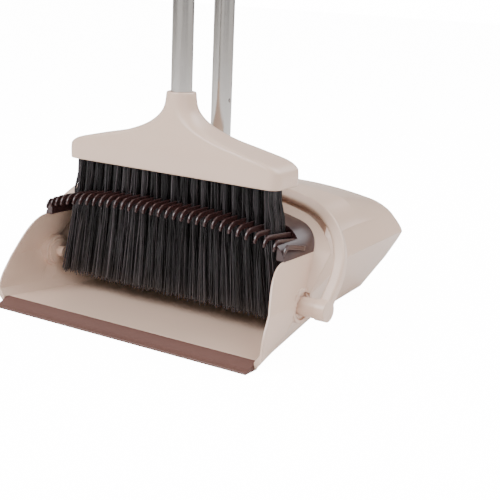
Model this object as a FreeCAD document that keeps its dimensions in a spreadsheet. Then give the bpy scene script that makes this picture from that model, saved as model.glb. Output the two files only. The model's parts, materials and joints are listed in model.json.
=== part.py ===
"""Upright dust pan and long-handled brush, a parametric assembly in millimetres.

The pan stands on the floor with its mouth towards -Y. Its pole rises along +Z through the origin
and the brush is parked in front of it, with its bristles between the teeth of the pan's comb.
"""
import FreeCAD, Part
import math
import os

import Sketcher

V = FreeCAD.Vector
doc = FreeCAD.newDocument("DustPanAndBrush")

# ---------------------------------------------------------------- driving dimensions

SIZES = {
    # pan
    "lip_width": 320.0,
    "pan_wall": 2.2,
    "mouth_back": 158.5,
    "lip_reach": 20.7,
    "lip_rise": 8.6,
    "lip_edge": 1.4,
    "tongue_reach": 6.0,
    "tongue_thick": 2.4,
    "tongue_inset": 12.0,
    "pan_foot_gap": 1.5,
    "floor_top": 8.6,
    "floor_thick": 2.4,
    "mouth_base_out": 5.0,
    "mouth_bulge_out": 5.5,
    "rim_top_out": 11.0,
    "comb_top_in": 7.0,
    "heel": 5.0,
    "bin_mid": 60.0,
    "bulge_height": 50.0,
    "wall_top": 92.0,
    "hood_crown": 126.5,
    "bin_rear": 173.0,
    "rear_slope": 27.0,
    "bin_in": 8.0,
    "bin_wide_height": 73.0,
    "facet_in": 21.0,
    "facet_height": 97.0,
    "bin_crown": 135.0,
    "rear_in": 17.0,
    "rear_facet_in": 34.0,
    "rear_facet_height": 88.0,
    "rear_crown": 109.0,
    "base_mid_in": 43.0,
    "base_rear_in": 56.0,
    "rear_corner": 13.0,
    "pad_radius": 8.0,
    # pivot and bail
    "pivot_back": 87.8,
    "pivot_height": 45.8,
    "lean_angle": 41.9,
    "step_gap": 0.5,
    "comb_off": 5.0,
    "rim_thick": 2.4,
    "rim_gap": 3.0,
    "rim_foot": 60.0,
    "bail_out": 33.0,
    "bail_band": 11.5,
    "bail_depth": 11.0,
    "bail_crown_bend": 557.0,
    "bail_shoulder_bend": 95.0,
    "lobe_radius": 10.5,
    "stub_radius": 9.5,
    "pin_radius": 6.0,
    "pin_show": 8.0,
    "pin_clear": 0.05,
    "boss_radius": 17.5,
    "well_radius": 14.0,
    "boss_outer_out": 2.0,
    "boss_inner_in": 6.5,
    "bush_flange": 14.0,
    "bush_flange_thick": 2.5,
    "bush_sleeve": 8.5,
    "move_gap": 0.4,
    # comb
    "tooth_pitch": 9.5,
    "tooth_thick": 2.2,
    "comb_thick": 9.0,
    "comb_gap": 0.2,
    "comb_end": 8.0,
    "tip_back": 120.0,
    "root_back": 55.0,
    "tip_height": 116.0,
    # tubes
    "tube_radius": 11.0,
    "tube_wall": 0.45,
    "tube_spacing": 71.5,
    "socket_sink": 0.7,
    "socket_sole": 3.0,
    "socket_rise": 28.7,
    "socket_top_radius": 15.2,
    "socket_base_radius": 17.0,
    "fit_gap": 0.05,
    "joiner_radius": 15.0,
    "joiner_length": 54.0,
    "spigot_length": 90.0,
    "spigot_wall": 1.6,
    "pan_joint": 649.0,
    "lock_pin_height": 222.0,
    "lock_pin_radius": 2.2,
    # pistol grip and clip
    "collar_radius": 16.5,
    "collar_base": 1119.0,
    "collar_top": 1146.0,
    "grip_angle": 27.0,
    "grip_length": 168.0,
    "grip_mid_radius": 14.0,
    "grip_bulb_radius": 20.5,
    "screw_radius": 2.2,
    "screw_rise": 11.0,
    "clip_height": 15.0,
    "clip_wall": 3.4,
    "clip_mouth": 15.0,
    "clip_clear": 0.1,
    # brush
    "head_base": 154.6,
    "head_in": 27.0,
    "head_depth": 49.0,
    "head_end": 15.0,
    "head_top": 236.0,
    "neck_radius": 15.2,
    "head_wall": 3.0,
    "block_height": 13.5,
    "cavity_height": 36.0,
    "bristle_length": 126.6,
    "bristle_front": 93.0,
    "bristle_rear": 64.0,
    "bristle_clear": 0.45,
    "brush_tube_base": 168.0,
    "brush_joint": 694.5,
    "brush_grip_base": 1156.0,
    "brush_grip_length": 138.0,
    "brush_grip_radius": 17.0,
    "hole_half_width": 7.5,
    "hole_half_height": 9.5,
    "hole_drop": 19.0,
}

sheet = doc.addObject("Spreadsheet::Sheet", "Sizes")
for row, (alias, value) in enumerate(SIZES.items(), start=1):
    sheet.set(f"A{row}", alias)
    sheet.set(f"B{row}", repr(value))
    sheet.setAlias(f"B{row}", alias)
doc.recompute()


class Size:
    """A length that knows both its value and the expression it comes from."""

    def __init__(self, value, text):
        self.value = float(value)
        self.text = text

    def join(self, other, sign, value):
        text = other.text if isinstance(other, Size) else repr(float(other))
        return Size(value, f"({self.text} {sign} {text})")

    def __add__(self, other):
        return self.join(other, "+", self.value + float(other))

    def __sub__(self, other):
        return self.join(other, "-", self.value - float(other))

    def __mul__(self, other):
        return self.join(other, "*", self.value * float(other))

    def __truediv__(self, other):
        return self.join(other, "/", self.value / float(other))

    def __radd__(self, other):
        return Size(other, repr(float(other))) + self

    def __rsub__(self, other):
        return Size(other, repr(float(other))) - self

    def __rmul__(self, other):
        return Size(other, repr(float(other))) * self

    def __neg__(self):
        return 0.0 - self

    def __float__(self):
        return self.value


def size(alias):
    return Size(sheet.get(alias), f"Sizes.{alias}")


def mm(alias):
    return float(sheet.get(alias))


nodes = []


def keep(obj, label):
    obj.Label = label
    nodes.append(obj)
    return obj


# ---------------------------------------------------------------- bound features

def bind(obj, **values):
    for name, value in values.items():
        if isinstance(value, Size):
            obj.setExpression(name.replace("__", "."), value.text)
        else:
            setattr(obj, name, value)
    return obj


def place(obj, x=0.0, y=0.0, z=0.0, rotation=None):
    obj.Placement = FreeCAD.Placement(V(float(x), float(y), float(z)), rotation or FreeCAD.Rotation())
    for axis, value in (("x", x), ("y", y), ("z", z)):
        if isinstance(value, Size):
            obj.setExpression(f"Placement.Base.{axis}", value.text)
    return obj


def cylinder(name, radius, height, x=0.0, y=0.0, z=0.0, rotation=None):
    obj = bind(doc.addObject("Part::Cylinder", name), Radius=radius, Height=height)
    return place(obj, x, y, z, rotation)


def cut(name, base, tool):
    obj = doc.addObject("Part::Cut", name)
    obj.Base = base
    obj.Tool = tool
    return obj


def fuse(name, *pieces):
    obj = doc.addObject("Part::MultiFuse", name)
    obj.Shapes = list(pieces)
    return obj


def group(name, pieces):
    obj = doc.addObject("Part::Compound", name)
    obj.Links = list(pieces)
    return obj


def origin_plane(body, role):
    return next(f for f in body.Origin.OriginFeatures if f.Role == role)


def outline(body, name, role, corners):
    """A closed sketch of straight edges whose corners are bound to the sheet."""
    sketch = body.newObject("Sketcher::SketchObject", name)
    sketch.AttachmentSupport = [(origin_plane(body, role), "")]
    sketch.MapMode = "FlatFace"
    count = len(corners)
    points = [V(float(a), float(b), 0) for a, b in corners]
    for i in range(count):
        sketch.addGeometry(Part.LineSegment(points[i], points[(i + 1) % count]), False)
    for i in range(count):
        sketch.addConstraint(Sketcher.Constraint("Coincident", i, 2, (i + 1) % count, 1))
    for i, corner in enumerate(corners):
        for kind, value in zip(("DistanceX", "DistanceY"), corner):
            index = sketch.addConstraint(Sketcher.Constraint(kind, -1, 1, i, 1, float(value)))
            if isinstance(value, Size):
                sketch.setExpression(f"Constraints[{index}]", value.text)
    return sketch


def pad(label, role, corners, length):
    """A body made of one outline, padded evenly to both sides of its plane."""
    body = doc.addObject("PartDesign::Body", label.title().replace("_", "") + "Body")
    sketch = outline(body, label + "_outline", role, corners)
    feature = body.newObject("PartDesign::Pad", label + "_pad")
    feature.Profile = sketch
    feature.Midplane = True
    bind(feature, Length=length)
    return keep(body, label)


def turned(label, corners, **position):
    """A body turned about a vertical axis from an outline of radius and height."""
    body = doc.addObject("PartDesign::Body", label.title().replace("_", "") + "Body")
    sketch = outline(body, label + "_outline", "XZ_Plane", corners)
    feature = body.newObject("PartDesign::Revolution", label + "_turn")
    feature.Profile = sketch
    feature.ReferenceAxis = (sketch, ["V_Axis"])
    feature.Angle = 360.0
    place(body, **position)
    return keep(body, label)


def ring(radius_in, radius_out, low, high):
    return [(radius_in, low), (radius_out, low), (radius_out, high), (radius_in, high)]


# ---------------------------------------------------------------- shared geometry helpers

LEAN = math.radians(mm("lean_angle"))
PIVOT_Y = -mm("pivot_back")
PIVOT_Z = mm("pivot_height")
TURN_TO_X = FreeCAD.Rotation(V(0, 1, 0), 90)
TURN_TO_REAR = FreeCAD.Rotation(V(1, 0, 0), -90)
FAR = 400.0

# The bail is as long as it takes for its crown to come under the pole when it leans.
REACH = size("pivot_back") / math.sin(LEAN)
SOCKET_BASE = size("pivot_height") + REACH * math.cos(LEAN) - size("socket_sink")
SOCKET_FLOOR = SOCKET_BASE + size("socket_sole")

# Half widths, each measured outwards or inwards from the end of the lip.
HALF_LIP = size("lip_width") / 2
MOUTH_BASE = HALF_LIP + size("mouth_base_out")
MOUTH_BULGE = HALF_LIP + size("mouth_bulge_out")
RIM_TOP = HALF_LIP + size("rim_top_out")
COMB_TOP = HALF_LIP - size("comb_top_in")
BIN_WIDE = HALF_LIP - size("bin_in")
FACET = HALF_LIP - size("facet_in")
BIN_REAR = HALF_LIP - size("rear_in")
REAR_FACET = HALF_LIP - size("rear_facet_in")
BASE_MID = HALF_LIP - size("base_mid_in")
BASE_REAR = HALF_LIP - size("base_rear_in")
BOSS_OUTER = HALF_LIP + size("boss_outer_out")
BOSS_INNER = HALF_LIP - size("boss_inner_in")
BAIL_HALF = HALF_LIP + size("bail_out")
HEAD_HALF = HALF_LIP - size("head_in")
BASE_REAR_Y = size("bin_rear") - size("rear_slope")

# Shares of a roof arch's half width and rise at its shoulder and at the end of its crown.
ROOF_SHARES = ((0.946, 0.475), (0.81, 0.74))
COMB_SHARES = ((0.946, 0.37), (0.81, 0.65))
RIM_SHARES = ((0.895, 0.386), (0.73, 0.69))
REAR_SHARES = ((0.9, 0.32), (0.755, 0.58))
HEEL_RISE = 1.6


def lean_point(x, along, off):
    """A point in the bail's leaning plane: along it from the pivot, and off it to the rear."""
    y = PIVOT_Y + along * math.sin(LEAN) + off * math.cos(LEAN)
    z = PIVOT_Z + along * math.cos(LEAN) - off * math.sin(LEAN)
    return V(x, y, z)


def lean_height(along, off):
    return lean_point(0, along, off).z


def leaning(off):
    """The y of a leaning plane as a function of height."""
    def y_at(z):
        along = (z - PIVOT_Z + off * math.sin(LEAN)) / math.cos(LEAN)
        return lean_point(0, along, off).y
    return y_at


def upright(y):
    return lambda z: y


def arch(y_at, base, wide, wide_z, top, top_z, crown_z, low_z, inset, shares=ROOF_SHARES):
    """One cross-section of the pan: flat base, heel, flared wall, upper wall, shoulders and crown."""
    rise = crown_z - top_z
    heel = mm("heel")
    outline_points = [(base - heel, low_z), (base, low_z + HEEL_RISE * heel), (wide, wide_z), (top, top_z)]
    outline_points += [(top * out, top_z + rise * up) for out, up in shares]
    right = [(x - inset, z - (inset if z > top_z else 0.0)) for x, z in outline_points]

    def at(x, z):
        return V(x, y_at(z), z)

    p = [at(x, z) for x, z in right]
    q = [at(-x, z) for x, z in right]
    crown = at(0, crown_z - inset)
    edges = [Part.LineSegment(q[0], p[0])]
    edges += [Part.LineSegment(p[i], p[i + 1]) for i in range(3)]
    edges += [Part.Arc(p[3], p[4], p[5]), Part.Arc(p[5], crown, q[5]), Part.Arc(q[5], q[4], q[3])]
    edges += [Part.LineSegment(q[i + 1], q[i]) for i in (2, 1, 0)]
    return Part.Wire([edge.toShape() for edge in edges])


def prism(edges, half):
    """A prism along X over a closed outline of edges in the plane x = 0."""
    face = Part.Face(Part.Wire(Part.__sortEdges__([edge.toShape() for edge in edges])))
    face.translate(V(-half, 0, 0))
    return face.extrude(V(2 * half, 0, 0))


def lines(points):
    """Straight edges through points of y and z."""
    spots = [V(0, y, z) for y, z in points]
    return [Part.LineSegment(a, b) for a, b in zip(spots, spots[1:])]


def side_prism(points, half):
    return prism(lines(points + [points[0]]), half)


def feature(label, shape):
    obj = doc.addObject("Part::Feature", label.title().replace("_", ""))
    obj.Shape = shape
    return keep(obj, label)


# ---------------------------------------------------------------- pan shell

def step_off():
    """How far behind the bail's middle plane the bin begins."""
    return mm("bail_depth") / 2 + mm("step_gap")


def rim_reach():
    """How far up the leaning plane the rim's crown lies, just inside the bail."""
    return REACH.value - mm("bail_band") - mm("rim_gap")


def base_half(y):
    """Half the width of the pan's base, which narrows from the mouth to the middle of the bin."""
    share = (mm("bin_mid") - y) / (mm("bin_mid") + mm("mouth_back"))
    return BASE_MID.value + (MOUTH_BASE - BASE_MID).value * max(share, 0.0) ** 1.3


def hood_sections(low_z, inset, end_off):
    """The hood from in front of the mouth to the rim round the comb, and on into the bin."""
    wide = MOUTH_BULGE.value
    bulge = mm("bulge_height")
    wall_top = mm("wall_top")
    crown = mm("hood_crown")
    comb_top = COMB_TOP.value
    comb_off = -mm("comb_off") + inset
    rim_off = comb_off + mm("rim_thick")
    rim_foot = lean_height(mm("rim_foot"), rim_off)
    # y of the section, widest half, half at the wall's top, wall's top, crown, arch shares
    rows = [
        (upright(-mm("mouth_back") - 60.0), wide, comb_top, wall_top, crown, COMB_SHARES),
        (leaning(comb_off), wide, comb_top, wall_top + 1.0, crown + 1.0, COMB_SHARES),
        (leaning(rim_off), wide + 1.5, RIM_TOP.value, rim_foot, lean_height(rim_reach(), rim_off), RIM_SHARES),
        (leaning(end_off), wide - 5.0, comb_top, lean_height(mm("rim_foot"), end_off),
         lean_height(rim_reach() - 6.0, end_off), RIM_SHARES),
    ]
    return [
        arch(y_at, base_half(y_at(low_z)), half, bulge, top, top_z, crown_z, low_z, inset, shares)
        for y_at, half, top, top_z, crown_z, shares in rows
    ]


def bin_sections(low_z, inset, start_off):
    """The bin from the step behind the bail to past its rear wall."""
    start = leaning(start_off)
    wide_z = mm("bin_wide_height")
    facet_z = mm("facet_height")
    crown = mm("bin_crown")
    return [
        arch(start, base_half(start(low_z)), MOUTH_BULGE.value - 4.5, mm("bulge_height"), FACET.value + 12.0,
             facet_z + 1.0, crown + 4.0, low_z, inset),
        arch(upright(20.0), base_half(20.0), BIN_WIDE.value + 3.0, wide_z, FACET.value + 5.0, facet_z + 1.0,
             crown + 2.0, low_z, inset),
        arch(upright(mm("bin_mid")), BASE_MID.value, BIN_WIDE.value, wide_z, FACET.value, facet_z, crown, low_z, inset),
        arch(upright(mm("bin_rear") + 12.0), BASE_REAR.value, BIN_REAR.value, wide_z - 1.0, REAR_FACET.value,
             mm("rear_facet_height"), mm("rear_crown"), low_z, inset, REAR_SHARES),
    ]


def plan_prism(inset):
    """The pan seen from above, with its bowed rear and rounded rear corners, as a tall prism."""
    half = BAIL_HALF.value
    corner = mm("rear_corner")
    rear = mm("bin_rear") - inset
    side = BIN_REAR.value + 4.0 - inset
    bow = 4.0
    bend = corner * (1.0 - math.sqrt(0.5))
    p = [V(half, -FAR, -10), V(half, 40, -10), V(side, rear - bow - corner, -10)]
    turn = V(side - bend, rear - bow - bend, -10)
    end = V(side - corner, rear - bow, -10)
    q = [V(-a.x, a.y, a.z) for a in (p[0], p[1], p[2], turn, end)]
    edges = [
        Part.LineSegment(p[0], p[1]), Part.LineSegment(p[1], p[2]), Part.Arc(p[2], turn, end),
        Part.Arc(end, V(0, rear, -10), q[4]),
        Part.Arc(q[4], q[3], q[2]), Part.LineSegment(q[2], q[1]), Part.LineSegment(q[1], q[0]),
        Part.LineSegment(q[0], p[0]),
    ]
    return Part.Face(Part.Wire([edge.toShape() for edge in edges])).extrude(V(0, 0, FAR))


def rear_outline(inset):
    """The y and z of the overhanging rear wall, from the roof down to the base."""
    rear = mm("bin_rear") - inset
    return [(rear - 6.0, FAR), (rear - 6.0, mm("rear_crown") + 4.0), (rear, mm("bin_wide_height") - 3.0),
            (rear - 4.0, mm("bin_wide_height") / 2), (BASE_REAR_Y.value - inset, -5.0)]


def pan_solid(low_z, inset, end_off, start_off, front):
    """The pan's outside, or with an inset its inside, behind the given front edges."""
    hood = Part.makeLoft(hood_sections(low_z, inset, end_off), True, True)
    bin_box = Part.makeLoft(bin_sections(low_z, inset, start_off), True, True)
    rear = rear_outline(inset)
    first, last = front[0].StartPoint, front[-1].EndPoint
    closing = lines([(last.y, last.z)] + rear + [(first.y, first.z)])
    return hood.fuse(bin_box).common(prism(front + closing, FAR)).common(plan_prism(inset))


def mouth_edges():
    """The front edge of the side walls, which leans back as it rises, and the roof's edge behind the comb."""
    wall_top = mm("wall_top") - 0.5
    comb_back = leaning(-mm("comb_off"))
    back = -mm("mouth_back")
    sweep = Part.BSplineCurve()
    sweep.interpolate([V(0, back - 2.0, -5.0), V(0, back - 6.3, 14.0), V(0, back - 2.5, 30.0), V(0, back + 9.5, 50.0),
                       V(0, back + 20.8, 70.0), V(0, back + 34.0, 85.0), V(0, back + 56.0, wall_top)])
    return [sweep] + lines([(back + 56.0, wall_top), (comb_back(wall_top), wall_top), (comb_back(FAR), FAR)])


def underside_recess():
    """The hollow under the floor, inside the skirt that the pan stands on."""
    margin = 2.0 * mm("heel")
    ys = [-mm("mouth_back") + margin, -60.0, mm("bin_mid"), BASE_REAR_Y.value - margin]
    half = [base_half(y) - margin for y in ys[:3]] + [BASE_REAR.value - margin]
    right = [V(a, y, -5) for a, y in zip(half, ys)]
    loop = right + [V(-v.x, v.y, v.z) for v in reversed(right)]
    return Part.Face(Part.makePolygon(loop + [loop[0]])).extrude(V(0, 0, 5 + mm("floor_top") - mm("floor_thick")))


def pan_shell():
    wall = mm("pan_wall")
    floor = mm("floor_top")
    step = step_off()
    half_lip = HALF_LIP.value
    back = -mm("mouth_back")
    outer = pan_solid(mm("pan_foot_gap"), 0.0, step + 6.0, step, mouth_edges())
    open_front = lines([(-FAR / 2, -5.0), (-FAR / 2, FAR)])
    inner = pan_solid(floor, wall, step + 6.0 - wall, step + wall, open_front)
    shell = outer.cut(inner).cut(underside_recess())
    # the lip lies in a step across the front of the floor, on a tongue
    gap = mm("fit_gap")
    shell = shell.cut(Part.makeBox(2 * (half_lip + gap), FAR, 10 + mm("lip_rise"), V(-half_lip - gap, back - FAR, -10)))
    tongue_half = half_lip - mm("tongue_inset")
    tongue_low = (mm("lip_rise") - mm("tongue_thick")) / 2
    tongue = Part.makeBox(2 * tongue_half, mm("tongue_reach") + 1.0, mm("tongue_thick"),
                          V(-tongue_half, back - mm("tongue_reach"), tongue_low))
    shell = shell.fuse(tongue)
    for side in (-1, 1):
        towards = V(side, 0, 0)
        boss_length = (MOUTH_BULGE - BOSS_INNER).value - 1.0
        boss = Part.makeCylinder(mm("boss_radius"), boss_length, V(side * BOSS_INNER.value, PIVOT_Y, PIVOT_Z), towards)
        hole = Part.makeCylinder(mm("bush_sleeve") + gap, FAR, V(side * 100.0, PIVOT_Y, PIVOT_Z), towards)
        well = Part.makeCylinder(mm("well_radius"), FAR, V(side * BOSS_OUTER.value, PIVOT_Y, PIVOT_Z), towards)
        seat = Part.makeCylinder(mm("bush_flange") + gap, mm("bush_flange_thick") + 1.0,
                                 V(side * BOSS_INNER.value, PIVOT_Y, PIVOT_Z), -towards)
        shell = shell.fuse(boss).cut(hole).cut(well).cut(seat)
    return shell.removeSplitter()


feature("pan_shell", pan_shell())

# ---------------------------------------------------------------- rubber lip and skid pads

slot_low = (size("lip_rise") - size("tongue_thick")) / 2 - size("fit_gap")
slot_high = slot_low + size("tongue_thick") + 2 * size("fit_gap")
slot_back = -size("mouth_back") - size("tongue_reach") - size("fit_gap")
lip_back = -size("mouth_back") - size("fit_gap")
lip_front = -size("mouth_back") - size("lip_reach")
pad("rubber_lip", "YZ_Plane", [
    (lip_front, 0.0), (lip_back, 0.0), (lip_back, slot_low), (slot_back, slot_low), (slot_back, slot_high),
    (lip_back, slot_high), (lip_back, size("lip_rise")), (lip_front + 1.0, size("lip_edge") + 0.4),
    (lip_front, size("lip_edge")),
], size("lip_width"))

pad_height = size("floor_top") - size("floor_thick")
spots = [("Centre", 0.0, 0.0)]
for side in (-1, 1):
    spots.append((f"Front{side + 1}", side * (MOUTH_BASE - 36.0), -size("mouth_back") + 32.0))
    spots.append((f"Rear{side + 1}", side * (BASE_REAR - 24.0), BASE_REAR_Y - 30.0))
pads = [cylinder("SkidPad" + name, size("pad_radius"), pad_height, x, y) for name, x, y in spots]
keep(group("SkidPads", pads), "skid_pads")

# ---------------------------------------------------------------- comb

PAIRS = int((COMB_TOP.value - 1.0) // mm("tooth_pitch"))
HALF_COMB = PAIRS * mm("tooth_pitch")


def root_y(x):
    return -mm("root_back") - 21.0 * abs(x / HALF_COMB) ** 6


def tip_y(x):
    return -mm("tip_back") + 12.0 * abs(x / HALF_COMB) ** 6


def tip_z(x):
    share = abs(x / HALF_COMB)
    return mm("tip_height") - 4.0 * share ** 2 - 10.0 * share ** 4


def tooth(x):
    """One thin blade that runs forward from the plate and hooks down at its tip."""
    y, z, root = tip_y(x), tip_z(x), root_y(x) + 6.0
    left = x - mm("tooth_thick") / 2

    def at(dy, dz):
        return V(left, y + dy, z + dz)

    top = V(left, root, z + 9.5)
    low = V(left, root, z + 4.5)
    edges = [
        Part.Arc(at(0, 0), at(3.0, 6.2), at(11, 10)),
        Part.LineSegment(at(11, 10), top),
        Part.LineSegment(top, low),
        Part.LineSegment(low, at(13, 5)),
        Part.Arc(at(13, 5), at(6.8, 2.6), at(3, -1.2)),
        Part.Arc(at(3, -1.2), at(1.1, -1.8), at(0, 0)),
    ]
    wire = Part.Wire([edge.toShape() for edge in edges])
    return Part.Face(wire).extrude(V(mm("tooth_thick"), 0, 0))


def comb_strip():
    gap = mm("comb_gap")
    rest = mm("wall_top") - 0.5 + gap
    band = Part.makeLoft(hood_sections(mm("pan_foot_gap"), 0.0, step_off() + 6.0), True, True)
    hollow = Part.makeLoft(hood_sections(mm("floor_top"), mm("comb_thick"), step_off() + 9.0), True, True)
    back = leaning(-mm("comb_off") - gap)
    front = -mm("mouth_back") + 51.0
    region = side_prism([(front, rest), (front, FAR), (back(FAR), FAR), (back(rest), rest)], FAR)
    steps = 12
    half = HALF_COMB - mm("comb_end")
    xs = [half * (2 * i / steps - 1) for i in range(steps + 1)]
    edge = Part.BSplineCurve()
    edge.interpolate([V(x, root_y(x), 0) for x in xs])
    ends = [V(half, root_y(half), 0), V(half, -FAR, 0), V(-half, -FAR, 0), V(-half, root_y(half), 0)]
    sides = [Part.LineSegment(a, b).toShape() for a, b in zip(ends, ends[1:])]
    cutter = Part.Face(Part.Wire([edge.toShape()] + sides)).extrude(V(0, 0, FAR))
    plate = band.common(region).cut(hollow).cut(cutter)
    return plate.removeSplitter()


comb_plate = comb_strip()
feature("comb_strip", comb_plate)
teeth = [tooth(i * mm("tooth_pitch")) for i in range(-PAIRS, PAIRS + 1)]
blades = [max(blade.cut(comb_plate).Solids, key=lambda piece: piece.Volume) for blade in teeth]
feature("comb_teeth", Part.makeCompound(blades))

# ---------------------------------------------------------------- pivots

for side, word in ((-1, "left"), (1, "right")):
    turn = FreeCAD.Rotation(V(0, 1, 0), 90 * side)
    pivot = {"y": -size("pivot_back"), "z": size("pivot_height"), "rotation": turn}
    name = word.title()
    flange_at = side * (BOSS_INNER - size("bush_flange_thick"))
    flange = cylinder("BushFlange" + name, size("bush_flange"), size("bush_flange_thick"), flange_at, **pivot)
    sleeve_length = BOSS_OUTER - BOSS_INNER + size("bush_flange_thick")
    sleeve = cylinder("BushSleeve" + name, size("bush_sleeve"), sleeve_length, flange_at, **pivot)
    bore = cylinder("BushBore" + name, size("pin_radius") + size("pin_clear"), sleeve_length + 20.0,
                    flange_at - side * 10.0, **pivot)
    bush = cut("PivotBush" + name, fuse("BushBody" + name, flange, sleeve), bore)
    keep(bush, "pivot_bush_" + word)
    pin_at = BOSS_INNER - size("bush_flange_thick") - size("pin_show")
    pin_length = BAIL_HALF - size("bail_band") / 2 - pin_at
    pin = cylinder("PivotPin" + name, size("pin_radius"), pin_length, side * pin_at, **pivot)
    keep(pin, "pivot_pin_" + word)

# ---------------------------------------------------------------- bail with its pole socket


def bail_outline(inset):
    """The bail's arch in its leaning plane, from the right pivot over the crown to the left one."""
    half = BAIL_HALF.value - inset
    reach = REACH.value - inset
    crown = mm("bail_crown_bend") - inset
    shoulder = mm("bail_shoulder_bend") - inset
    centre_x = half - shoulder
    centre_s = reach - crown + math.sqrt((crown - shoulder) ** 2 - centre_x ** 2)
    angle = math.atan2(centre_s - (reach - crown), centre_x)
    meet = (centre_x + shoulder * math.cos(angle), centre_s + shoulder * math.sin(angle))
    bend = (centre_x + shoulder * math.cos(angle / 2), centre_s + shoulder * math.sin(angle / 2))
    return [(half, 0.0), (half, centre_s), bend, meet, (0.0, reach)]


def bail_arm():
    depth = mm("bail_depth")

    def at(point, side=1):
        return lean_point(side * point[0], point[1], -depth / 2)

    def curve(points):
        a, b, c, d, e = points
        return [
            Part.LineSegment(at(a), at(b)), Part.Arc(at(b), at(c), at(d)), Part.Arc(at(d), at(e), at(d, -1)),
            Part.Arc(at(d, -1), at(c, -1), at(b, -1)), Part.LineSegment(at(b, -1), at(a, -1)),
        ]

    outer = bail_outline(0.0)
    inner = bail_outline(mm("bail_band"))
    closing = [Part.LineSegment(at(outer[0], -1), at(inner[0], -1)), Part.LineSegment(at(inner[0]), at(outer[0]))]
    edges = [edge.toShape() for edge in curve(outer) + curve(inner) + closing]
    wire = Part.Wire(Part.__sortEdges__(edges))
    band = Part.Face(wire).extrude(lean_point(0, 0, depth) - lean_point(0, 0, 0))
    band = band.makeFillet(2.5, [e for e in band.Edges if e.Length > 20 and on_face(e, depth)])
    half = BAIL_HALF.value
    pieces = []
    for side in (-1, 1):
        inside = half - mm("bail_band")
        start = BOSS_OUTER.value + mm("move_gap")
        lobe = Part.makeCylinder(mm("lobe_radius"), mm("bail_band"), V(side * inside, PIVOT_Y, PIVOT_Z), V(side, 0, 0))
        stub = Part.makeCylinder(mm("stub_radius"), inside - start + 2.0, V(side * start, PIVOT_Y, PIVOT_Z), V(side, 0, 0))
        pieces += [lobe, stub]
    pieces.append(Part.makeCone(mm("socket_base_radius"), mm("socket_top_radius"), mm("socket_rise"),
                                V(0, 0, SOCKET_BASE.value)))
    body = band.fuse(pieces)
    body = body.cut(Part.makeCylinder(mm("tube_radius") + mm("fit_gap"), FAR, V(0, 0, SOCKET_FLOOR.value)))
    for side in (-1, 1):
        seat = Part.makeCylinder(mm("pin_radius"), half - mm("bail_band") / 2 - 100.0,
                                 V(side * 100.0, PIVOT_Y, PIVOT_Z), V(side, 0, 0))
        body = body.cut(seat)
    return body.removeSplitter()


def on_face(edge, depth):
    """True for an edge that lies in the bail's front or rear face."""
    offs = []
    for vertex in edge.Vertexes:
        dy = vertex.Y - PIVOT_Y
        dz = vertex.Z - PIVOT_Z
        offs.append(dy * math.cos(LEAN) - dz * math.sin(LEAN))
    return max(offs) - min(offs) < 0.01 and abs(abs(offs[0]) - depth / 2) < 0.01


feature("bail_arm", bail_arm())

# ---------------------------------------------------------------- tubes and their joiners


def tube_set(word, joint, low, high, y):
    """Two tubes end to end, the spigot inside them and the collar round the joint."""
    radius = size("tube_radius")
    inside = radius - size("tube_wall")
    lower = turned(word + "_lower_tube", ring(inside, radius, low, joint), y=y)
    turned(word + "_upper_tube", ring(inside, radius, joint, high), y=y)
    half = size("spigot_length") / 2
    spigot = inside - size("fit_gap")
    turned(word + "_tube_spigot", ring(spigot - size("spigot_wall"), spigot, joint - half, joint + half), y=y)
    half = size("joiner_length") / 2
    seat = radius + size("fit_gap")
    rim = size("joiner_radius") - 1.0
    turned(word + "_tube_joiner", [
        (seat, joint - half), (rim, joint - half), (size("joiner_radius"), joint - half + 2.0),
        (size("joiner_radius"), joint + half - 2.0), (rim, joint + half), (seat, joint + half),
    ], y=y)
    return lower


def cross_hole(body, radius, height):
    """A round hole along X through both walls of a turned body."""
    sketch = body.newObject("Sketcher::SketchObject", body.Name + "Hole")
    sketch.AttachmentSupport = [(origin_plane(body, "YZ_Plane"), "")]
    sketch.MapMode = "FlatFace"
    sketch.addGeometry(Part.Circle(V(0, float(height), 0), V(0, 0, 1), float(radius)), False)
    sketch.addConstraint(Sketcher.Constraint("PointOnObject", 0, 3, -2))
    for kind, value in (("Radius", radius), ("DistanceY", height)):
        where = (0,) if kind == "Radius" else (-1, 1, 0, 3)
        index = sketch.addConstraint(Sketcher.Constraint(kind, *where, float(value)))
        sketch.setExpression(f"Constraints[{index}]", value.text)
    doc.recompute()
    before = body.Shape.Volume
    pocket = body.newObject("PartDesign::Pocket", body.Name + "Pocket")
    pocket.Profile = sketch
    pocket.Midplane = True
    pocket.Length = 100.0
    doc.recompute()
    if body.Shape.Volume >= before:
        raise RuntimeError("the cross hole cuts nothing")


grip_seat = size("collar_top") - 4.0
pan_tube = tube_set("pan", size("pan_joint"), SOCKET_FLOOR, grip_seat, 0.0)
cross_hole(pan_tube, size("lock_pin_radius") + size("fit_gap"), size("lock_pin_height"))
lock = size("tube_radius") + 0.9
lock_pin = cylinder("PanLockPin", size("lock_pin_radius"), 2 * lock, -lock, 0.0, size("lock_pin_height"), TURN_TO_X)
keep(lock_pin, "pan_tube_lock_pin")

# ---------------------------------------------------------------- pistol grip


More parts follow.
